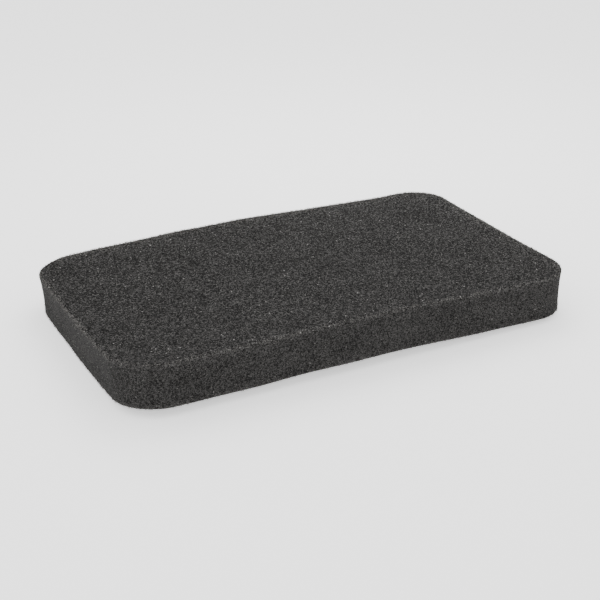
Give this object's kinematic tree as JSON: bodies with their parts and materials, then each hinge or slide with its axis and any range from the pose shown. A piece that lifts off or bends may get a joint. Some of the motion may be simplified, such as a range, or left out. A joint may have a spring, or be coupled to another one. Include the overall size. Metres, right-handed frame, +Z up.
{
  "type": "foam air filter element",
  "caption": "Flat rectangular pad of open-cell foam with rounded corners, the element of a small engine's panel air filter.",
  "frame": {"origin": "middle of the pad's flat underside, where it rests on the filter tray", "axes": "+X along the length, +Y across the width, +Z up through the thickness, towards the filter cover"},
  "size_m": [0.2, 0.12, 0.0185],
  "materials": {
    "foam": "matte open-cell polyurethane foam, charcoal"
  },
  "bodies": {
    "root": {"foam_element": "foam"}
  },
  "joints": []
}
